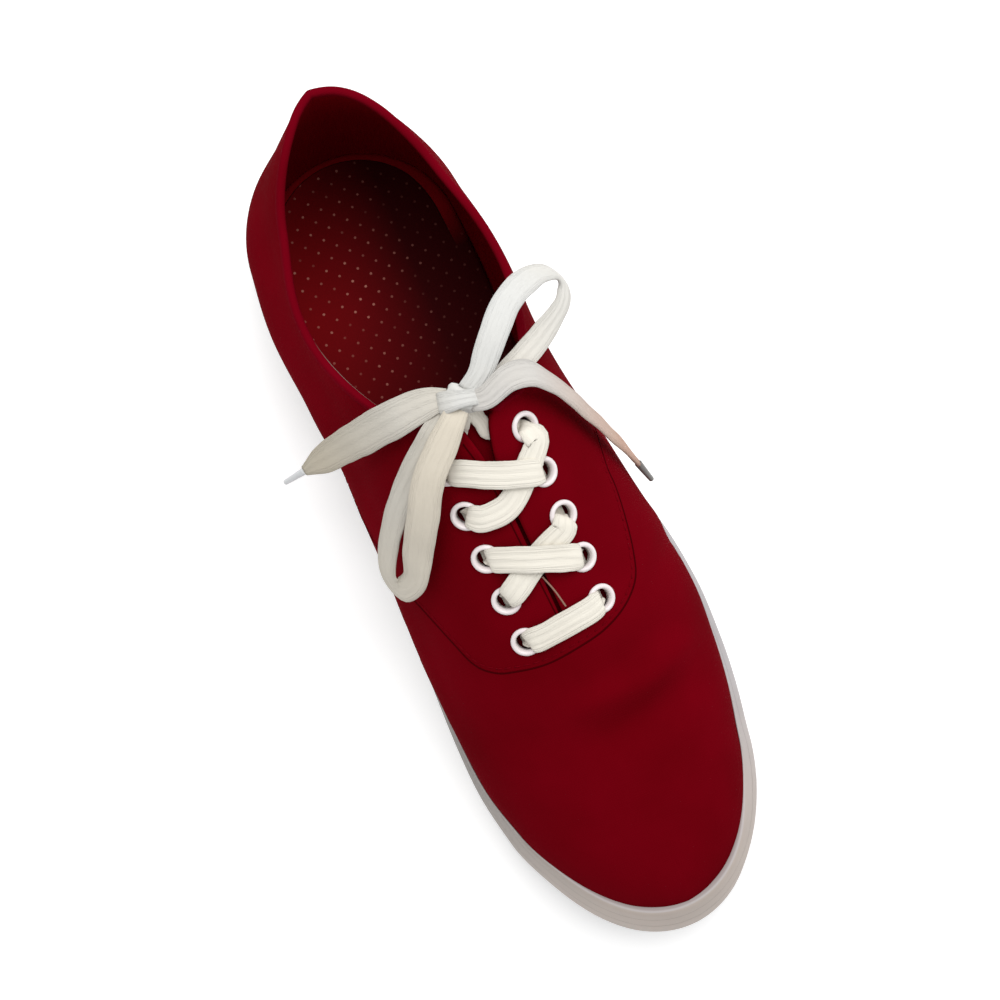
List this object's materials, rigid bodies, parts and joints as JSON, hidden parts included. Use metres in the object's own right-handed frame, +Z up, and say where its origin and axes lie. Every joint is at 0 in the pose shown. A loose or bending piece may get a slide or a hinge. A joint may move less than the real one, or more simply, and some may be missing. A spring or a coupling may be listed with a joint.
{
  "type": "canvas sneaker",
  "caption": "Low canvas lace-up shoe for the right foot, with a ribbed rubber sole, a circular vamp, metal eyelets and a flat lace tied in a bow.",
  "frame": {"origin": "on the floor, under the middle of the shoe's outline seen from above, without the free laces", "axes": "+Z up, -Y towards the toe, +X towards the big-toe side"},
  "size_m": [0.1112, 0.2894, 0.1036],
  "materials": {
    "tread": "matt moulded rubber",
    "rubber": "satin white rubber, ribbed and grooved, slightly dirty",
    "canvas": "fine plain-weave crimson canvas",
    "lining": "dark red lining cloth with fine light perforations",
    "eyelet": "white enamel",
    "lace": "flat woven off-white lace",
    "lace_tip": "clear hard tip over the lace"
  },
  "bodies": {
    "root": {"outsole": "tread", "midsole": "rubber", "upper": "canvas", "insole": "lining", "tongue": "canvas", "eyelet_inner_1": "eyelet", "eyelet_outer_1": "eyelet", "eyelet_inner_2": "eyelet", "eyelet_outer_2": "eyelet", "eyelet_inner_3": "eyelet", "eyelet_outer_3": "eyelet", "eyelet_inner_4": "eyelet", "eyelet_outer_4": "eyelet", "eyelet_inner_5": "eyelet", "eyelet_outer_5": "eyelet", "lace_bar": "lace", "lace_cross_lower": "lace", "lace_cross_upper": "lace", "lace_knot": "lace", "lace_loop_inner": "lace", "lace_end_inner": "lace", "lace_loop_outer": "lace", "lace_end_outer": "lace", "lace_tip_inner": "lace_tip", "lace_tip_outer": "lace_tip"}
  },
  "joints": []
}
